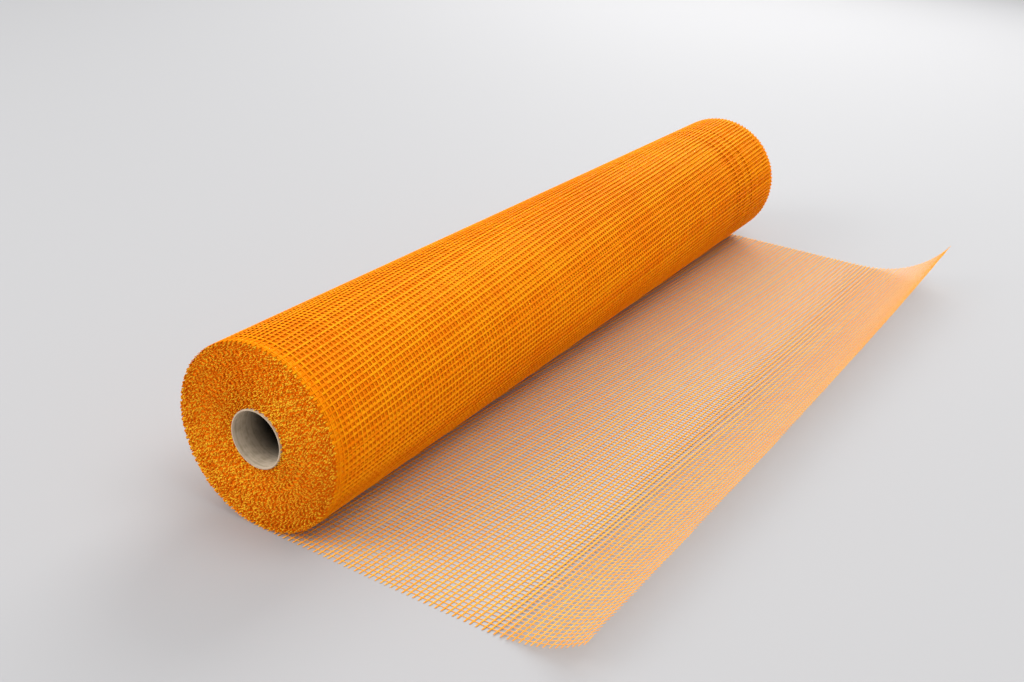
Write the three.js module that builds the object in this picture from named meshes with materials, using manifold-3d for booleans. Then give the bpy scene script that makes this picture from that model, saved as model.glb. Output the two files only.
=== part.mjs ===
// A roll of coated fibreglass mesh on a cardboard core, lying on the floor with its free end laid out.
// Millimetres. Z is up, the floor is z = 0, and the roll's axis runs along Y, straight above the origin.
// The free end leaves the roll at its lowest line and runs towards +X.

import * as THREE from "three";
import { mergeVertices } from "three/addons/utils/BufferGeometryUtils.js";
import Module from "manifold-3d";

// Driving dimensions

const meshWidth = 1000; // width of the mesh, which is the length of the roll
const rollRadius = 85.8; // outside of the wound turns
const coreBore = 51; // inside diameter of the cardboard core
const coreWall = 1.5;
const coreFit = 0.3; // clearance between the core and the innermost turn

const endRings = 8; // rings that show on each end, each one a bundle of turns
const grooveDepth = 2; // of the grooves between the rings
const grooveWidth = 1.4;

const sheetThickness = 0.8;
const reachUnder = 8; // how far the sheet reaches back under the roll, past its lowest line
const freeLengthNear = 321; // flat length of the free end, measured from under the roll's axis
const freeLengthFar = 372;
const flatLengthNear = 238; // the stretch of it that lies on the floor
const flatLengthMiddle = 247;
const flatLengthFar = 247;
const curlRadiusNear = 120; // how tightly the rest curls up
const curlRadiusFar = 124;

const openColumns = 12; // openings across the free end: a plain grid in place of its 5 mm cells
const openRowsFlat = 3;
const openRowsCurl = 1;
const openShare = 0.72; // the side of an opening as a share of its cell

// Fineness of the round surfaces

const turnSides = 72;
const curlSteps = 8;

// Values that follow from the dimensions

const halfWidth = meshWidth / 2;
const coreInner = coreBore / 2;
const coreOuter = coreInner + coreWall;
const rollBore = coreOuter + coreFit;
const axisHeight = rollRadius + sheetThickness / 2; // the wound turns press half-way into the sheet

// Solids

const weldDistance = 1e-4;
const wasm = await Module();
wasm.setup();

function solidFrom(geometry) {
  geometry.deleteAttribute("normal");
  geometry.deleteAttribute("uv");
  const merged = mergeVertices(geometry, weldDistance);
  return new wasm.Manifold(
    new wasm.Mesh({
      numProp: 3,
      vertProperties: merged.attributes.position.array,
      triVerts: new Uint32Array(merged.index.array),
    }),
  );
}

function geometryFrom(solid) {
  const mesh = solid.getMesh();
  const geometry = new THREE.BufferGeometry();
  geometry.setAttribute("position", new THREE.BufferAttribute(mesh.vertProperties, 3));
  geometry.setIndex(new THREE.BufferAttribute(mesh.triVerts, 1));
  geometry.computeVertexNormals();
  return geometry;
}

// Turns a closed outline of [radius, y] points about the roll's axis. The middle of each facet lies at
// the stated radius, and one facet faces straight down.
function turned(outline) {
  const facetMiddle = Math.PI / turnSides;
  const outward = 1 / Math.cos(facetMiddle);
  const points = outline.map(([radius, y]) => new THREE.Vector2(radius * outward, y));
  points.push(points[0].clone());
  return new THREE.LatheGeometry(points, turnSides, facetMiddle).translate(0, 0, axisHeight);
}

// The cardboard core

function coreTube() {
  return turned([
    [coreInner, halfWidth],
    [coreInner, -halfWidth],
    [coreOuter, -halfWidth],
    [coreOuter, halfWidth],
  ]);
}

// The wound mesh: a thick-walled drum whose turns show as rings on both ends

function endOutline(side) {
  const pitch = (rollRadius - rollBore) / endRings;
  const face = side * halfWidth;
  const outline = [[rollBore, face]];
  for (let ring = 1; ring < endRings; ring += 1) {
    const groove = rollBore + ring * pitch;
    outline.push([groove - grooveWidth / 2, face]);
    outline.push([groove, face - side * grooveDepth]);
    outline.push([groove + grooveWidth / 2, face]);
  }
  outline.push([rollRadius, face]);
  return outline;
}

function woundMesh() {
  return turned([...endOutline(-1), ...endOutline(1).reverse()]);
}

// The free end: one sheet that lies flat and then curls up along an arc, cut open by a grid of openings

function between(near, far, share) {
  return near + (far - near) * share;
}

function flatLength(share) {
  const bow = flatLengthMiddle - between(flatLengthNear, flatLengthFar, 0.5);
  return between(flatLengthNear, flatLengthFar, share) + 4 * bow * share * (1 - share);
}

// The stations where the openings of a row of cells start and end, with the steps inside each opening
function openingStations(start, end, cells, steps) {
  const cell = (end - start) / cells;
  const stations = [];
  for (let index = 0; index < cells; index += 1) {
    const from = start + cell * (index + (1 - openShare) / 2);
    for (let step = 0; step <= steps; step += 1) {
      stations.push({ at: from + (cell * openShare * step) / steps, opens: step < steps });
    }
  }
  return stations;
}

// Along the sheet, a station below 0 is back under the roll, 0 to 1 is flat, and 1 to 2 is the curl
function sheetPoint(share, station, height) {
  const y = between(-halfWidth, halfWidth, share);
  const flat = flatLength(share);
  if (station < 1) {
    return [station < 0 ? -reachUnder : flat * station, y, height];
  }
  const radius = between(curlRadiusNear, curlRadiusFar, share);
  const sweep = (between(freeLengthNear, freeLengthFar, share) - flat) / radius;
  const turn = sweep * (station - 1);
  const inside = radius - height;
  return [flat + inside * Math.sin(turn), y, radius - inside * Math.cos(turn)];
}

function freeEnd() {
  const across = [{ at: 0 }, ...openingStations(0, 1, openColumns, 1), { at: 1 }];
  const flatStations = openingStations(0, 1, openRowsFlat, 1);
  const curlStations = openingStations(1, 2, openRowsCurl, curlSteps);
  const along = [{ at: -1 }, ...flatStations, { at: 1 }, ...curlStations, { at: 2 }];
  const positions = [];
  for (const line of across) {
    for (const station of along) {
      positions.push(...sheetPoint(line.at, station.at, 0));
      positions.push(...sheetPoint(line.at, station.at, sheetThickness));
    }
  }

  const isSolid = (i, k) => {
    const inside = i >= 0 && k >= 0 && i < across.length - 1 && k < along.length - 1;
    return inside && !(across[i].opens && along[k].opens);
  };
  const under = (i, k) => 2 * (i * along.length + k);
  const upper = (i, k) => under(i, k) + 1;
  const faces = [];
  const addQuad = (a, b, c, d) => faces.push(a, b, c, a, c, d);
  for (let i = 0; i < across.length - 1; i += 1) {
    for (let k = 0; k < along.length - 1; k += 1) {
      if (!isSolid(i, k)) {
        continue;
      }
      addQuad(under(i, k), under(i + 1, k), under(i + 1, k + 1), under(i, k + 1));
      addQuad(upper(i, k), upper(i, k + 1), upper(i + 1, k + 1), upper(i + 1, k));
      if (!isSolid(i - 1, k)) {
        addQuad(under(i, k), under(i, k + 1), upper(i, k + 1), upper(i, k));
      }
      if (!isSolid(i + 1, k)) {
        addQuad(under(i + 1, k + 1), under(i + 1, k), upper(i + 1, k), upper(i + 1, k + 1));
      }
      if (!isSolid(i, k - 1)) {
        addQuad(under(i + 1, k), under(i, k), upper(i, k), upper(i + 1, k));
      }
      if (!isSolid(i, k + 1)) {
        addQuad(under(i, k + 1), under(i + 1, k + 1), upper(i + 1, k + 1), upper(i, k + 1));
      }
    }
  }
  const geometry = new THREE.BufferGeometry();
  geometry.setAttribute("position", new THREE.Float32BufferAttribute(positions, 3));
  geometry.setIndex(faces);
  return geometry;
}

// The wound turns and the free end are one strip of mesh, so they are one solid
function meshStrip() {
  return geometryFrom(solidFrom(woundMesh()).add(solidFrom(freeEnd())));
}

// The object

const cardboard = new THREE.MeshStandardMaterial({ color: 0x9a8f84, roughness: 0.9, metalness: 0 });
const coatedMesh = new THREE.MeshStandardMaterial({ color: 0xf07d10, roughness: 0.45, metalness: 0 });

function piece(name, geometry, material) {
  const mesh = new THREE.Mesh(geometry, material);
  mesh.name = name;
  return mesh;
}

const roll = new THREE.Group();
roll.add(piece("core_tube", coreTube(), cardboard));
roll.add(piece("mesh_strip", meshStrip(), coatedMesh));

export default roll;
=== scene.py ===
# %% [markdown]
# A roll of coated glass-fibre mesh, lying on the floor with its free end laid out.
# The real thing is one strip of open weave, 1 m wide and some 50 m long, wound on a cardboard tube.
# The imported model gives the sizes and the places. This script builds the looks round it: every yarn
# that shows is a real yarn here, so the light falls through the holes as it does through the real mesh.

import math

import bpy
import numpy as np
from mathutils import Matrix, Vector


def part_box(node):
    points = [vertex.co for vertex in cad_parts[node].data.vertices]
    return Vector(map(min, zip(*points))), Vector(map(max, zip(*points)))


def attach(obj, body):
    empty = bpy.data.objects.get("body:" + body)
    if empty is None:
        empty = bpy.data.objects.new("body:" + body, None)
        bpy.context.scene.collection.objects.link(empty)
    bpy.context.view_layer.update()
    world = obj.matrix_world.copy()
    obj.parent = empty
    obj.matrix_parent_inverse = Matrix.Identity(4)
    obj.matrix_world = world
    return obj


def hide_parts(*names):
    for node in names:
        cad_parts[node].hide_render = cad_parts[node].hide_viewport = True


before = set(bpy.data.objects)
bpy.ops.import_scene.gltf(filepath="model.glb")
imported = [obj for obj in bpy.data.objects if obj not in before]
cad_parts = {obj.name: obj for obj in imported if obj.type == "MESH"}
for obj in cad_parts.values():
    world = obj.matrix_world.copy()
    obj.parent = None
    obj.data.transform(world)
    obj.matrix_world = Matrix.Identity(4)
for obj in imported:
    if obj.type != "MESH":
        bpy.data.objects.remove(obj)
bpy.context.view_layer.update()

# %% [markdown]
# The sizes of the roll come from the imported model, so that nothing has to be fitted by hand. The core
# gives the axis, and the strip gives the width. The strip is as thick as its thickest yarn crossing, and
# its middle plane lies half of that above the floor.

# %% Measure the roll
MM = 0.001
core_low, core_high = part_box("core_tube")
strip_low, strip_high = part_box("mesh_strip")

width = strip_high.y - strip_low.y
half_width = width / 2
axis_height = (core_low.z + core_high.z) / 2
core_outer = (core_high.x - core_low.x) / 2
half_mesh = 0.4 * MM
first_radius = axis_height - half_mesh
print("width", round(width, 4), "axis height", round(axis_height, 4), "core", round(core_outer, 4))

# %% [markdown]
# The camera stands in front of the near end, a little above the roll and turned a few degrees about its
# own view line, as a hand-held camera is. Three angles say where it looks: azimuth round the roll,
# elevation above the floor, and roll about the view line.

# %% Place the camera
azimuth, elevation, view_roll = (math.radians(a) for a in (29.87, 25.15, 3.96))
outward = math.cos(elevation)
back = Vector((math.sin(azimuth) * outward, -math.cos(azimuth) * outward, math.sin(elevation)))
level = Vector((math.cos(azimuth), math.sin(azimuth), 0))
upright = back.cross(level)
right = level * math.cos(view_roll) + upright * math.sin(view_roll)
up = upright * math.cos(view_roll) - level * math.sin(view_roll)

camera = bpy.data.objects.new("camera", bpy.data.cameras.new("camera"))
camera.matrix_world = Matrix((right, up, back)).transposed().to_4x4()
camera.location = (0.5759, -1.0916, 0.5673)
camera.data.sensor_width = 36
camera.data.lens = 39.74
camera.data.clip_start = 0.05
camera.data.clip_end = 200
bpy.context.scene.collection.objects.link(camera)
bpy.context.scene.camera = camera
print("camera stands at", [round(v, 3) for v in camera.location], "and looks with", camera.data.lens, "mm")

# %% [markdown]
# The light is a bright, soft studio. A pale world gives every side some light. Three large panels do the
# rest: one hangs behind the roll and makes its top the brightest part, one stands at the front left and
# lights the near end, and one hangs high at the right and lights the free end. Together they give the
# floor its slow falloff towards the corners.
# A plain colour transform keeps the orange as saturated as the coating is.

# %% Light the studio
scene = bpy.context.scene
scene.view_settings.view_transform = "Standard"
scene.world = bpy.data.worlds.new("studio")
scene.world.use_nodes = True
surroundings = scene.world.node_tree.nodes["Background"]
surroundings.inputs["Color"].default_value = (0.97, 0.985, 1.0, 1)
surroundings.inputs["Strength"].default_value = 0.72


def light_panel(name, place, target, size, watts):
    """A square light panel that faces a target point."""
    data = bpy.data.lights.new(name, "AREA")
    data.shape = "SQUARE"
    data.size = size
    data.energy = watts
    panel = bpy.data.objects.new(name, data)
    panel.location = place
    panel.rotation_euler = (Vector(target) - Vector(place)).to_track_quat("-Z", "Y").to_euler()
    bpy.context.scene.collection.objects.link(panel)
    print(name, "is", size, "m wide and gives", watts, "W")


light_panel("back_panel", (-0.86, 3.17, 2.39), (-1.1, -0.2, 0), 2.7, 112)
light_panel("front_panel", (-2.1, -3.0, 1.9), (-0.1, -0.4, 0.1), 2.4, 92)
light_panel("side_panel", (1.7, 0.1, 3.4), (0.8, 1.0, 0), 2.2, 60)

# %% [markdown]
# The floor is a plain pale sheet with no texture of its own. It is far larger than the roll, so that its
# edge stays out of sight from most sides.

# %% Lay the floor
def principled(name):
    """A new material and its main shader."""
    material = bpy.data.materials.new(name)
    material.use_nodes = True
    return material, material.node_tree.nodes["Principled BSDF"]


floor_size = 40.0
floor_mesh = bpy.data.meshes.new("floor")
half = floor_size / 2
floor_corners = [(-half, -half, 0), (half, -half, 0), (half, half, 0), (-half, half, 0)]
floor_mesh.from_pydata(floor_corners, [], [(0, 1, 2, 3)])
floor = bpy.data.objects.new("floor", floor_mesh)
floor_paint, floor_shader = principled("pale_floor")
floor_shader.inputs["Base Color"].default_value = (0.428, 0.424, 0.429, 1)
floor_shader.inputs["Roughness"].default_value = 0.7
floor_shader.inputs["Specular IOR Level"].default_value = 0.2
floor_mesh.materials.append(floor_paint)
bpy.context.scene.collection.objects.link(floor)
print("floor is", floor_size, "m wide")

# %% [markdown]
# The path of the strip. A point of the mesh is named by two numbers: s, the metres along the strip from
# the line where it leaves the roll, and y, the place across its width. For s above zero it lies flat on
# the floor and then curls up on an arc. For s below zero it is wound, and each turn is a little smaller
# than the one outside it, which makes the whole a spiral. One function gives the place for both, and the
# direction towards the roll's inside, which on the floor points up.
# The free end has a flat length and a curl radius of its own at each edge, and both change evenly between.

# %% Size the strip's path
turn_rise = 0.41 * MM
free_length = (321 * MM, 372 * MM)
flat_length = (238 * MM, 247 * MM)
flat_bow = 4.5 * MM
curl_radius = (120 * MM, 124 * MM)
soft_bend = 32 * MM
rise_per_radian = turn_rise / (2 * math.pi)


def across_width(ends, y):
    """A value that changes evenly from the near edge to the far edge."""
    return ends[0] + (ends[1] - ends[0]) * (y + half_width) / width


def cut_line(y):
    """How far the free end reaches, along the strip."""
    return across_width(free_length, y)


def wound_angle(s):
    """The angle about the axis, from straight down, of a wound point."""
    radius = np.sqrt(first_radius**2 + 2 * rise_per_radian * np.minimum(s, 0))
    return (first_radius - radius) / rise_per_radian


print("free end reaches", [round(cut_line(y), 3) for y in (-half_width, half_width)], "m at its edges")

# %% [markdown]
# Mesh doesn't bend all at once where it leaves the floor: the bend grows over a few centimetres. A plain
# arc after a straight would show a crease there. Here the slope is known at each point, and the place is
# the sum of a few weighted steps along it, which gives a soft bend without a table of points.

# %% Follow the strip
step_places, step_weights = np.polynomial.legendre.leggauss(12)


def slope(past, radius):
    """The angle of the free end, past metres beyond the middle of its soft bend."""
    growing = np.clip(past + soft_bend, 0, 2 * soft_bend)
    return growing**2 / (4 * soft_bend * radius) + np.maximum(past - soft_bend, 0) / radius


def strip_place(s, y, sunk=0.0):
    """The place of a point of the mesh and its normal towards the roll's inside."""
    share = (y + half_width) / width
    flat = across_width(flat_length, y) + 4 * flat_bow * share * (1 - share)
    radius = across_width(curl_radius, y)
    past = s - flat
    reach = np.maximum(past + soft_bend, 0)
    steps = reach[..., None] * (step_places + 1) / 2 - soft_bend
    slopes = slope(steps, (radius + 0 * s)[..., None])
    curl = slope(past, radius)
    laid_x = s - reach + (np.cos(slopes) * step_weights).sum(axis=-1) * reach / 2
    laid_z = half_mesh + (np.sin(slopes) * step_weights).sum(axis=-1) * reach / 2
    angle = wound_angle(s)
    radius = first_radius - rise_per_radian * angle - sunk
    wound = s < 0
    x = np.where(wound, -radius * np.sin(angle), laid_x)
    z = np.where(wound, axis_height - radius * np.cos(angle), laid_z)
    inward_x = np.where(wound, np.sin(angle), -np.sin(curl))
    inward_z = np.where(wound, np.cos(angle), np.cos(curl))
    place = np.stack([x, y + 0 * x, z], axis=-1)
    inward = np.stack([inward_x, 0 * x, inward_z], axis=-1)
    return place, inward


first_turn_length = 2 * math.pi * (first_radius - turn_rise / 2)
second_turn_length = first_turn_length - 2 * math.pi * turn_rise
print("one turn takes", round(first_turn_length, 3), "m of mesh")

# %% [markdown]
# The weave. Weft yarns run across the strip, parallel to the roll's axis, and warp yarns run along it.
# They are not a perfect grid: the wefts lie askew by some 6 cm over the width, and every yarn strays by
# a fraction of a millimetre. Near the far end three warps are missing from the wound turns, so three
# columns of cells are twice as wide, and they show as three rows of dark dots round the roll.

# %% Space the yarns
rng = np.random.default_rng(7)
weft_pitch = 5.41 * MM
warp_pitch = 5.05 * MM
edge_margin = 2.6 * MM
warp_stray = 0.12 * MM
weft_stray_share = 0.07
skew_slope = 0.09
skew_bow = 0.025
wave_height = 0.2 * MM
wave_length = 0.31
wander_height = 0.5 * MM
wander_length = 0.45
wander_wefts = 37
wide_columns = (370 * MM, 391 * MM, 412 * MM)

warp_count = int((width - 2 * edge_margin) / warp_pitch) + 1
warp_y = (np.arange(warp_count) - (warp_count - 1) / 2) * warp_pitch
warp_y += rng.normal(0, warp_stray, warp_count)
missing = [int(np.abs(warp_y - column).argmin()) for column in wide_columns]
wide_columns = warp_y[missing]
wound_warp_y = np.delete(warp_y, missing)


def skew(y):
    """How far a weft runs ahead along the strip, growing from the near edge to the far edge."""
    from_near_edge = y + half_width
    return skew_slope * from_near_edge - skew_bow * from_near_edge**2


weft_numbers = np.arange(-12000, 80)
weft_stray = rng.normal(0, weft_stray_share, len(weft_numbers)) * weft_pitch
weft_wave = rng.uniform(0, 2 * math.pi, len(weft_numbers))


def weft_s(number, y):
    """Where weft yarn number crosses the line at y, in metres along the strip."""
    k = number - weft_numbers[0]
    wave = wave_height * np.sin(2 * math.pi * y / wave_length + weft_wave[k])
    wander = wander_height * np.sin(2 * math.pi * (number / wander_wefts + y / wander_length))
    return number * weft_pitch + weft_stray[k] + wave + wander + skew(y)


print(len(warp_y), "warp yarns across", "and about", int(first_turn_length / weft_pitch), "weft yarns a turn")

# %% [markdown]
# Yarns as meshes. A curve with a bevel would give the same shape, but thousands of them are slow to
# make. Here a whole bundle of yarns is one block of numbers: each yarn is a row of rings, and each ring
# is a small outline placed across the yarn. An outline is a list of corners, given as shares of the half
# width and of the half thickness: a rounded one, a lens and a ridge.

# %% Place the rings of a yarn
ROUND = np.array([(1, 0), (0.55, 0.9), (-0.55, 0.9), (-1, 0), (0, -0.8)])
LENS = np.array([(1, 0), (0, 1), (-1, 0), (0, -1)])
RIDGE = np.array([(1, -0.55), (0, 1.1), (-1, -0.55)])


def rings(place, across, out, half_across, half_out, outline):
    """Points of a bundle: arrays of (yarns, rings, 3), with half sizes of (yarns, rings)."""
    sideways = half_across[..., None] * outline[:, 0]
    outwards = half_out[..., None] * outline[:, 1]
    beside = place[..., None, :] + across[..., None, :] * sideways[..., None]
    return beside + out[..., None, :] * outwards[..., None]


print("a round yarn has", len(ROUND), "corners, a lens", len(LENS), "and a ridge", len(RIDGE))

# %% [markdown]
# The points are then joined into faces: a quad between each pair of neighbouring corners on two rings, and
# one face that closes each end of the yarn. The mesh is filled with whole arrays at once, which takes well
# under a second. Each corner also stores how far along its yarn it lies, and each yarn a random tint, so
# that the coating can differ from yarn to yarn.

# %% Join the rings into a mesh
def bundle_faces(yarns, steps, around, first):
    """Corner numbers of the faces of a bundle, sides and ends, as one flat list and the face sizes."""
    grid = first + np.arange(yarns * steps * around).reshape(yarns, steps, around)
    turned = np.roll(grid, -1, axis=2)
    sides = np.stack([grid[:, :-1], turned[:, :-1], turned[:, 1:], grid[:, 1:]], axis=-1).reshape(-1)
    starts = grid[:, 0, ::-1].reshape(-1)
    ends = grid[:, -1].reshape(-1)
    sizes = [np.full(len(sides) // 4, 4), np.full(2 * yarns, around)]
    return np.concatenate([sides, starts, ends]), np.concatenate(sizes)


def mesh_piece(name, bundles, material):
    """One object out of several bundles of yarns."""
    corners, sizes, points, along, tint = [], [], [], [], []
    first = 0
    for block in bundles:
        yarns, steps, around, _ = block.shape
        block_corners, block_sizes = bundle_faces(yarns, steps, around, first)
        corners.append(block_corners)
        sizes.append(block_sizes)
        points.append(block.reshape(-1, 3))
        middle = block.mean(axis=2)
        gaps = np.linalg.norm(np.diff(middle, axis=1), axis=2)
        run = np.concatenate([np.zeros((yarns, 1)), np.cumsum(gaps, axis=1)], axis=1)
        run += rng.uniform(0, 5, (yarns, 1))
        along.append(np.repeat(run, around))
        tint.append(np.repeat(rng.uniform(0, 1, yarns), steps * around))
        first += yarns * steps * around
    corners, sizes, points = (np.concatenate(a) for a in (corners, sizes, points))
    mesh = bpy.data.meshes.new(name)
    mesh.vertices.add(len(points))
    mesh.vertices.foreach_set("co", points.astype(np.float32).ravel())
    mesh.loops.add(len(corners))
    mesh.loops.foreach_set("vertex_index", corners.astype(np.int32))
    mesh.polygons.add(len(sizes))
    mesh.polygons.foreach_set("loop_start", (np.cumsum(sizes) - sizes).astype(np.int32))
    for title, values in (("along", along), ("tint", tint)):
        attribute = mesh.attributes.new(title, "FLOAT", "POINT")
        attribute.data.foreach_set("value", np.concatenate(values).astype(np.float32))
    mesh.materials.append(material)
    mesh.update(calc_edges=True)
    mesh.shade_smooth()
    piece = bpy.data.objects.new(name, mesh)
    bpy.context.scene.collection.objects.link(piece)
    print(name, "has", int((sizes - 2).sum()), "triangles")
    return piece


# %% [markdown]
# Materials here are made of nodes: a few noise textures and numbers are added into one tone, and a colour
# ramp turns the tone into a colour between a dark and a light one. A picture would do too, but it would
# blur close up. Small helpers make the nodes, so that each material reads as a short list.

# %% Make the material helpers
def add_node(material, kind, **values):
    """A new node, with some of its settings."""
    node = material.node_tree.nodes.new(kind)
    for key, value in values.items():
        setattr(node, key, value)
    return node


def noise(material, scale, detail, place, dimensions="3D"):
    """A noise texture at a place, which is a point in 3-D or a length along a line in 1-D."""
    texture = add_node(material, "ShaderNodeTexNoise", noise_dimensions=dimensions)
    texture.inputs["Scale"].default_value = scale
    texture.inputs["Detail"].default_value = detail
    material.node_tree.links.new(place, texture.inputs["W" if dimensions == "1D" else "Vector"])
    return texture.outputs["Fac"]


def add_scaled(material, value, factor, base):
    """A value times a factor, added to a base."""
    result = add_node(material, "ShaderNodeMath", operation="MULTIPLY_ADD")
    result.inputs[1].default_value = factor
    material.node_tree.links.new(value, result.inputs[0])
    material.node_tree.links.new(base, result.inputs[2])
    return result.outputs[0]


def tone_colour(material, tone, dark, light, low):
    """The dark colour up to a low tone, the light one at a tone of 1, and a blend between."""
    ramp = add_node(material, "ShaderNodeValToRGB")
    for stop, position, colour in zip(ramp.color_ramp.elements, (low, 1.0), (dark, light)):
        stop.position = position
        stop.color = (*colour, 1)
    material.node_tree.links.new(tone, ramp.inputs["Fac"])
    return ramp.outputs["Color"]


# %% [markdown]
# The coating is a soft plastic over glass fibre: strong orange with a faint sheen, and a little streaky
# along each yarn where the filaments show through. The yarn's random tint and the length along it give
# small differences of tone. Where the mesh lies as a single layer, light passes through the yarns and
# makes them paler than in the roll. Yarns that let light through need many light bounces, so the single
# layer gets a lighter coating instead.

# %% Coat the yarns
def yarn_coating(name, dark, light, roughness, by_yarn_share=0.45):
    """Coated yarn: tone by yarn and along it, and a grain of filaments."""
    material, shader = principled(name)
    link = material.node_tree.links.new
    along = add_node(material, "ShaderNodeAttribute", attribute_name="along").outputs["Fac"]
    tint = add_node(material, "ShaderNodeAttribute", attribute_name="tint").outputs["Fac"]
    place = add_node(material, "ShaderNodeTexCoord").outputs["Object"]
    streaks = noise(material, 160, 3, along, dimensions="1D")
    patches = noise(material, 9, 2, place)
    tones = add_scaled(material, patches, 0.6, add_scaled(material, tint, by_yarn_share, streaks))
    centred = add_node(material, "ShaderNodeMath", operation="SUBTRACT")
    centred.inputs[1].default_value = by_yarn_share / 2
    link(tones, centred.inputs[0])
    link(tone_colour(material, centred.outputs[0], dark, light, low=0.62), shader.inputs["Base Color"])
    grain = noise(material, 2600, 2, place)
    bump = add_node(material, "ShaderNodeBump")
    bump.inputs["Strength"].default_value = 0.25
    bump.inputs["Distance"].default_value = 0.1 * MM
    link(grain, bump.inputs["Height"])
    link(bump.outputs["Normal"], shader.inputs["Normal"])
    shader.inputs["Roughness"].default_value = roughness
    shader.inputs["Specular IOR Level"].default_value = 0.03
    shader.inputs["Specular Tint"].default_value = (1.0, 0.6, 0.1, 1)
    print(name, "runs from", dark, "to", light)
    return material


coated_yarn = yarn_coating("coated_yarn", (0.90, 0.22, 0.002), (0.98, 0.34, 0.004), 0.6)
single_layer = yarn_coating("single_layer", (1.0, 0.38, 0.03), (1.0, 0.48, 0.06), 0.55)

# %% [markdown]
# Now the strip itself is woven. A weft is a flat yarn that runs straight from edge to edge, so it needs
# few rings. A warp is really a pair of yarns twisted round each weft: it is widest and highest where it
# holds a weft and slimmer in between, so it gets one ring at each crossing and one between crossings.
# All yarns are alike, but where the strip is wound under tension they are pressed flat and spread.
# A size is half the yarn's width and half its thickness: for a weft, a warp's knot and a warp's span.
# Under the wide columns the turns below sink in a little, so their wefts dip there.

# %% Size the yarns
weft_rings = 49
loose_yarn = np.array([(0.72, 0.20), (0.60, 0.27), (0.46, 0.18)]) * MM
wound_yarn = np.array([(1.06, 0.22), (0.98, 0.32), (0.84, 0.22)]) * MM
under_yarn = np.array([(1.35, 0.20), (1.20, 0.26), (1.20, 0.26)]) * MM
sink_depth = 6 * MM
sink_reach = 3.0 * MM
dip_stations = np.array([-7, -3.5, 0, 3.5, 7]) * MM


def sunk_at(y):
    """How far the turns below sink in under the wide columns."""
    return sum(sink_depth * np.exp(-(((y - column) / sink_reach) ** 2)) for column in wide_columns)


for kind, yarn in (("loose", loose_yarn), ("wound", wound_yarn), ("under", under_yarn)):
    print(kind, "weft is", [round(float(v), 2) for v in 2 * yarn[0] / MM], "mm wide and thick")

# %% [markdown]
# Two helpers lay the yarns on the path: one for many wefts at once, because they all have as many rings,
# and one for a single warp, which follows the wefts that it holds.

# %% Weave the strip
Y_AXIS = np.array([0.0, 1.0, 0.0])


def wefts(numbers, y_ends, yarn, side=1, outline=ROUND, under=False):
    """Weft yarns, each from one y to another. side is 1 where the outside of the roll is the upper face."""
    share = np.linspace(0, 1, weft_rings)
    if under:
        share = np.union1d(share, 0.5 + (wide_columns[:, None] + dip_stations).ravel() / width)
    y = y_ends[:, :1] + (y_ends[:, 1:] - y_ends[:, :1]) * share
    place, inward = strip_place(weft_s(numbers[:, None], y), y, sunk_at(y) if under else 0.0)
    out = -side * inward
    across = np.cross(np.broadcast_to(Y_AXIS, out.shape), out)
    half_across, half_out = yarn[0]
    evenly = np.ones(y.shape)
    return rings(place, across, out, evenly * half_across, evenly * half_out, outline)


def warp(y, numbers, yarn, side=1, knots_only=False, cut=math.inf, stray=0.06 * MM):
    """One warp yarn that passes over the given wefts, in order, and ends where it was cut."""
    s = weft_s(numbers, y)
    if not knots_only:
        s = np.concatenate([s[:-1, None], (s[:-1, None] + s[1:, None]) / 2], axis=1).ravel()
    if s[-1] > cut:
        s = np.append(s[s < cut - 0.5 * MM], cut)
    knot = np.full(len(s), knots_only) | (np.arange(len(s)) % 2 == 0)
    place, inward = strip_place(s, y + rng.normal(0, stray, len(s)))
    out = -side * inward
    across = np.broadcast_to(-Y_AXIS, out.shape)
    half_across = np.where(knot, yarn[1, 0], yarn[2, 0])
    half_out = np.where(knot, yarn[1, 1], yarn[2, 1])
    return rings(place[None], across[None], out[None], half_across[None], half_out[None], RIDGE)


def strip_object(name, bundles, material=coated_yarn):
    """A piece of the strip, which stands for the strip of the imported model."""
    piece = mesh_piece(name, bundles, material)
    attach(piece, "root")
    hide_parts("mesh_strip")
    return piece


def numbers_between(low, high):
    """Weft numbers whose middle lies between two places along the strip."""
    middle = skew(0.0)
    return np.arange(math.ceil((low - middle) / weft_pitch), math.ceil((high - middle) / weft_pitch))


# %% [markdown]
# The free end lies on the floor and curls up. It was cut with a knife at a slight angle to the wefts, so
# the last wefts run out at the cut, and each warp ends within a millimetre of it.

# %% Lay out the free end
skew_reach = 60 * MM
cut_margin = 1.5 * MM
shortest_run = 4

laid = numbers_between(0, cut_line(half_width) + skew_reach)
check_y = np.linspace(-half_width, half_width, 400)
laid_ends = []
for number in laid:
    inside = weft_s(np.array([number]), check_y) < cut_line(check_y) - cut_margin
    changes = np.flatnonzero(np.diff(np.concatenate([[0], inside, [0]])))
    for first, end in changes.reshape(-1, 2):
        if end - first > shortest_run:
            laid_ends.append((number, check_y[first], check_y[end - 1]))
laid_ends = np.array(laid_ends)
laid_wefts = wefts(laid_ends[:, 0].astype(int), laid_ends[:, 1:], loose_yarn, side=-1)

free_warps = []
for y in warp_y:
    over = laid[weft_s(laid, y) < cut_line(y)]
    numbers = np.arange(over[0] - 1, over[-1] + 3)
    free_warps.append(warp(y, numbers, loose_yarn, side=-1, cut=cut_line(y) + rng.uniform(-1, 0.5) * MM))
free_end = strip_object("free_end", [laid_wefts, *free_warps], single_layer)

# %% [markdown]
# The outermost turn is woven all the way round, and so is the turn under it, because both show: the eye
# looks through the holes of the first onto the second. The second needs less detail, and its yarns are
# wider, because they stand for those of all the turns below, which never line up. At both edges the turns
# wander most, so there its warps lie close together and fill the cells. The wefts are trimmed unevenly, by
# up to a millimetre.

# %% Wind the two outer turns
longest_end_trim = 1 * MM
under_shift = 0.8 * MM
edge_stray = 0.4 * MM

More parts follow.
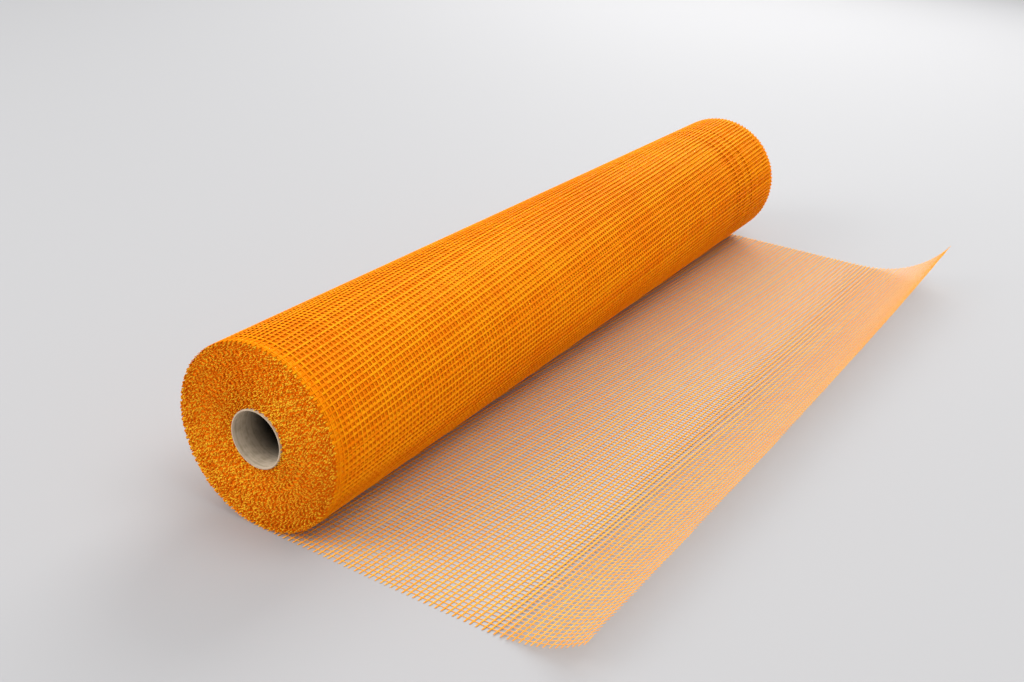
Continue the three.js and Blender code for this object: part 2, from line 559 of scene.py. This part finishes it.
first_turn = numbers_between(-first_turn_length, 0)
second_turn = numbers_between(-first_turn_length - second_turn_length, -first_turn_length)


def full_width(numbers):
    """The two ends of each weft, unevenly trimmed."""
    trims = rng.uniform(0, longest_end_trim, (len(numbers), 2))
    return np.array([-half_width, half_width]) + trims * (1, -1)


strip_object("outer_turn_wefts", [wefts(first_turn, full_width(first_turn), wound_yarn)])
around = np.arange(first_turn[0] - 1, first_turn[-1] + 2)
strip_object("outer_turn_near_warps", [warp(y, around, wound_yarn) for y in wound_warp_y if y < 0])
strip_object("outer_turn_far_warps", [warp(y, around, wound_yarn) for y in wound_warp_y if y >= 0])

stray_edges = half_width - np.array([3.6, 4.6, 5.7, 7.0, 8.3, 9.6, 11.0]) * MM
edge_y = np.concatenate([-stray_edges, stray_edges])
under_warps = [warp(y, second_turn, under_yarn, knots_only=True) for y in wound_warp_y + under_shift]
under_warps += [warp(y, second_turn, under_yarn, knots_only=True, stray=edge_stray) for y in edge_y]
under_wefts = wefts(second_turn, full_width(second_turn), under_yarn, outline=RIDGE, under=True)
strip_object("second_turn", [under_wefts, *under_warps])

# %% [markdown]
# The turns below are packed so tightly that only their wound mass shows, deep in the holes. A turned
# drum stands for it. It has a groove under each wide column, and its ends lie a little inside, behind
# the cut yarn ends. Its coating is a darker, redder copy of the yarns': painted shade, for the shade
# deep in the holes among the packed turns.

# %% Turn the drum of inner turns
drum_sides = 192
drum_radius = first_radius - 1.0 * MM
drum_inner = core_outer + 0.1 * MM
drum_half = half_width - 2.3 * MM
groove_depth = 8 * MM
groove_half = (2 * MM, 4.5 * MM)


def turned_piece(name, profile, sides, material):
    """A closed outline of (radius, y) points, turned about the roll's axis."""
    angle = np.linspace(0, 2 * math.pi, sides, endpoint=False)
    profile = np.array(profile)
    x = np.outer(np.sin(angle), profile[:, 0])
    z = axis_height - np.outer(np.cos(angle), profile[:, 0])
    y = np.broadcast_to(profile[:, 1], x.shape)
    points = np.stack([x, y, z], axis=-1).reshape(-1, 3)
    grid = np.arange(len(points)).reshape(sides, -1)
    over = np.roll(grid, -1, axis=0)
    beside = np.roll(grid, -1, axis=1)
    faces = np.stack([grid, beside, np.roll(over, -1, axis=1), over], axis=-1).reshape(-1, 4)
    mesh = bpy.data.meshes.new(name)
    mesh.from_pydata(points.tolist(), [], faces.tolist())
    mesh.materials.append(material)
    mesh.shade_smooth()
    piece = bpy.data.objects.new(name, mesh)
    bpy.context.scene.collection.objects.link(piece)
    print(name, "has", 2 * len(faces), "triangles")
    return piece


# Painted shade: the drum's coating is darker and redder than the yarns', for the shade among the packed
# turns.
shaded_wound_mass = yarn_coating("shaded_wound_mass", (0.84, 0.18, 0.002), (0.94, 0.25, 0.003), 0.6)
drum_profile = [
    (drum_radius, -drum_half),
    (drum_inner, -drum_half),
    (drum_inner, drum_half),
    (drum_radius, drum_half),
]
for column in reversed(wide_columns):
    drum_profile += [
        (drum_radius, column + groove_half[1]),
        (drum_radius - groove_depth, column + groove_half[0]),
        (drum_radius - groove_depth, column - groove_half[0]),
        (drum_radius, column - groove_half[1]),
    ]
drum = turned_piece("inner_turns", drum_profile, drum_sides, shaded_wound_mass)
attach(drum, "root")
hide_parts("mesh_strip")

# %% [markdown]
# On both ends of the roll the wefts stick out a few millimetres past the last warp, cut off by the loom.
# About nine thousand of them follow the spiral on each end. Each turn is 2.6 mm shorter than the one
# outside it, so the ends never line up, and that gives the stippled look. Their coating also jumps
# strongly in tone from end to end, from dark to pale yellow: partly the ends' own uneven tone, partly
# painted glints and painted shade that strengthen the stipple.

# The outer ones start further in, so that none shows as a short stub through the holes near the rim.

# %% Cut the yarn ends
rim_turns = 7
end_length = 3 * MM
rim_end_length = 10 * MM
usual_trim = 0.2 * MM
longest_trim = 1.3 * MM
wound_length = (first_radius**2 - drum_inner**2) / (2 * rise_per_radian)
inner_numbers = numbers_between(-wound_length, -first_turn_length - second_turn_length)


def cut_ends(side):
    """The short ends of the inner wefts on one end of the roll."""
    y_edge = side * half_width
    count = len(inner_numbers)
    s = weft_s(inner_numbers, np.full(count, y_edge))
    keep = s > -wound_length
    s, count = s[keep], int(keep.sum())
    place, inward = strip_place(s, np.full(count, y_edge))
    out = -inward
    across = np.cross(np.broadcast_to(Y_AXIS * side, out.shape), out)
    root, tip = place.copy(), place.copy()
    long_ends = s > -rim_turns * first_turn_length
    root[:, 1] -= side * np.where(long_ends, rim_end_length, end_length)
    tip[:, 1] -= side * rng.triangular(0, usual_trim, longest_trim, count)
    tip += across * rng.normal(0, 0.25 * MM, (count, 1)) + out * rng.normal(0, 0.08 * MM, (count, 1))
    middle = np.stack([root, tip], axis=1)
    half_across = rng.uniform(0.4, 0.8, (count, 1)) * MM * np.ones((1, 2))
    half_out = rng.uniform(0.2, 0.36, (count, 1)) * MM * np.ones((1, 2))
    pair = (count, 2, 3)
    return rings(
        middle,
        np.broadcast_to(across[:, None], pair),
        np.broadcast_to(out[:, None], pair),
        half_across,
        half_out,
        LENS,
    )


# Partly real tone, partly painted glints and painted shade: each cut end gets a tone between dark and pale
# yellow at random.
cut_yarn_glints_and_shade = yarn_coating("cut_yarn_glints_and_shade", (0.76, 0.17, 0.002), (1.0, 0.58, 0.03), 0.6, by_yarn_share=0.7)
strip_object("near_cut_ends", [cut_ends(-1)], cut_yarn_glints_and_shade)
strip_object("far_cut_ends", [cut_ends(1)], cut_yarn_glints_and_shade)

# %% [markdown]
# The core is a tube of wound grey-brown cardboard. It is turned again here with more sides than the
# packed one and with softly broken rims. Paper tubes show faint rings inside, and where the tube was cut
# the fresh paper is paler. The real tube turns dark a few centimetres in, where little light gets to, and
# the inside paper's colour darkens there too: painted shade, deep inside the tube.

# %% Turn the cardboard core
half_core = (core_high.y - core_low.y) / 2
shade_from = 42 * MM


def cardboard(name, dark, light, deep):
    """Paper with faint fibres and rings, and painted shade that darkens it to a share of its tone deep inside
    the tube.
    """
    material, shader = principled(name)
    link = material.node_tree.links.new
    place = add_node(material, "ShaderNodeTexCoord").outputs["Object"]
    parts = add_node(material, "ShaderNodeSeparateXYZ")
    link(place, parts.inputs[0])
    fibres = noise(material, 220, 5, place)
    paper_rings = noise(material, 420, 2, parts.outputs["Y"], dimensions="1D")
    tone = add_scaled(material, paper_rings, 0.8, fibres)
    from_middle = add_node(material, "ShaderNodeMath", operation="ABSOLUTE")
    link(parts.outputs["Y"], from_middle.inputs[0])
    # Painted shade: the tone falls to a share of itself over the last few centimetres into the tube.
    shade_depth = add_node(material, "ShaderNodeMapRange", interpolation_type="SMOOTHSTEP")
    shade_depth.inputs["From Min"].default_value = half_core - shade_from
    shade_depth.inputs["From Max"].default_value = half_core
    shade_depth.inputs["To Min"].default_value = deep
    link(from_middle.outputs[0], shade_depth.inputs["Value"])
    shade = add_node(material, "ShaderNodeVectorMath", operation="SCALE")
    link(tone_colour(material, tone, dark, light, low=0.6), shade.inputs[0])
    link(shade_depth.outputs["Result"], shade.inputs["Scale"])
    link(shade.outputs[0], shader.inputs["Base Color"])
    shader.inputs["Roughness"].default_value = 0.85
    shader.inputs["Specular IOR Level"].default_value = 0.05
    return material


core_wall = 1.5 * MM
core_inner = core_outer - core_wall
rim = 0.3 * MM
core_profile = [
    (core_inner, -half_core + rim),
    (core_inner, half_core - rim),
    (core_inner + rim, half_core),
    (core_outer - rim, half_core),
    (core_outer, half_core - rim),
    (core_outer, -half_core + rim),
    (core_outer - rim, -half_core),
    (core_inner + rim, -half_core),
]
# The inside paper gets painted shade deep inside the tube; the cut paper gets none.
inside_paper = cardboard("wound_cardboard", (0.40, 0.32, 0.22), (0.58, 0.47, 0.35), deep=0.02)
core = turned_piece("cardboard_core", core_profile, 128, inside_paper)
core.data.materials.append(cardboard("cut_cardboard", (0.40, 0.30, 0.21), (0.54, 0.42, 0.31), deep=1.0))
for face in core.data.polygons:
    face.material_index = int(abs(face.center.y) > half_core - rim)
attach(core, "root")
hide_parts("core_tube")
